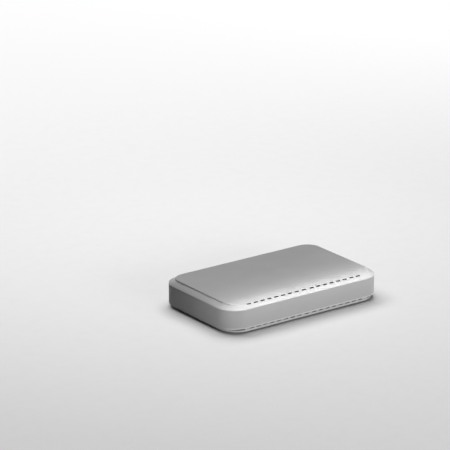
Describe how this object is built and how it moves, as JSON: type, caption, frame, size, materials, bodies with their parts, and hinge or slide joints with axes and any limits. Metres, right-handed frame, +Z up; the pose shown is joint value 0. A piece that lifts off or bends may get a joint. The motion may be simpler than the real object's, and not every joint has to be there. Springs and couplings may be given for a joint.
{
  "type": "streaming media player",
  "caption": "Low set-top box with large round corners, a raised crown on a sloping shoulder, vent slots along the front and sockets behind.",
  "frame": {"origin": "on the floor under the middle of the box, at the underside of the feet", "axes": "+X to the right seen from the front, +Y to the back where the sockets are, +Z up"},
  "size_m": [0.26, 0.16, 0.0402],
  "materials": {
    "lid_plastic": "satin, fine texture",
    "band_plastic": "satin, fine texture",
    "base_plastic": "matte",
    "foot_rubber": "matte",
    "screw_steel": "zinc plated",
    "panel_paint": "powder coated",
    "board_green": "solder mask",
    "chip_black": "moulded epoxy",
    "pad_grey": "soft silicone",
    "sink_anodised": "black anodised",
    "pin_nylon": "natural nylon",
    "ferrite": "matte",
    "can_aluminium": "drawn can",
    "chip_ceramic": "matte",
    "can_steel": "tinned steel",
    "contact_gold": "gold plated",
    "socket_nickel": "nickel plated",
    "socket_black": "moulded nylon",
    "shutter_black": "moulded nylon",
    "button_plastic": "satin",
    "plunger_red": "moulded nylon",
    "board_blue": "solder mask",
    "antenna_film": "laminated film",
    "lead_black": "jacket",
    "receiver_dark": "infrared-clear epoxy",
    "led_white": "epoxy",
    "guide_clear": "smoked moulded acrylic",
    "ribbon_white": "laminated film"
  },
  "bodies": {
    "housing": {"top_cover": "lid_plastic", "side_band": "band_plastic", "base_tray": "base_plastic", "rubber_feet": "foot_rubber", "case_screws": "screw_steel", "rear_panel": "panel_paint", "main_board": "board_green", "board_screws": "screw_steel", "processor": "chip_black", "thermal_pad": "pad_grey", "heat_sink": "sink_anodised", "heat_sink_pins": "pin_nylon", "memory_chips": "chip_black", "flash_chip": "chip_black", "power_chips": "chip_black", "inductors": "ferrite", "capacitors": "can_aluminium", "chip_parts": "chip_ceramic", "crystal": "can_steel", "ethernet_magnetics": "chip_black", "ethernet_jack": "can_steel", "ethernet_contacts": "contact_gold", "hdmi_shell": "socket_nickel", "hdmi_tongue": "socket_black", "usb_shells": "socket_nickel", "usb_tongues": "socket_black", "av_jack": "socket_black", "optical_jack": "socket_black", "dc_jack": "socket_black", "dc_jack_pin": "socket_nickel", "power_switch": "socket_black", "reset_switch": "socket_black", "wifi_module": "board_blue", "wifi_shield": "can_steel", "antenna_left": "antenna_film", "antenna_right": "antenna_film", "antenna_leads": "lead_black", "front_board": "board_green", "ir_receiver": "receiver_dark", "status_led": "led_white", "light_guide": "guide_clear", "ribbon_sockets": "pin_nylon", "ribbon_cable": "ribbon_white"},
    "power_button": {"power_button": "button_plastic", "power_stem": "pin_nylon"},
    "reset_button": {"reset_plunger": "plunger_red"},
    "shutter": {"optical_shutter": "shutter_black"}
  },
  "joints": [
    {"name": "power_press", "type": "slide", "parent": "housing", "child": "power_button", "axis": [0, -1, 0], "range_m": [0, 0.0012], "stiffness_N_per_m": 1500, "springref_m": -0.0006},
    {"name": "reset_press", "type": "slide", "parent": "housing", "child": "reset_button", "axis": [0, -1, 0], "range_m": [0, 0.0003], "stiffness_N_per_m": 3000, "springref_m": -0.0003},
    {"name": "shutter_swing", "type": "hinge", "parent": "housing", "child": "shutter", "pos_m": [-0.052, 0.0763, 0.0193], "axis": [-1, 0, 0], "range_deg": [0, 80], "stiffness_Nm_per_rad": 0.002, "springref_deg": -20.05}
  ]
}
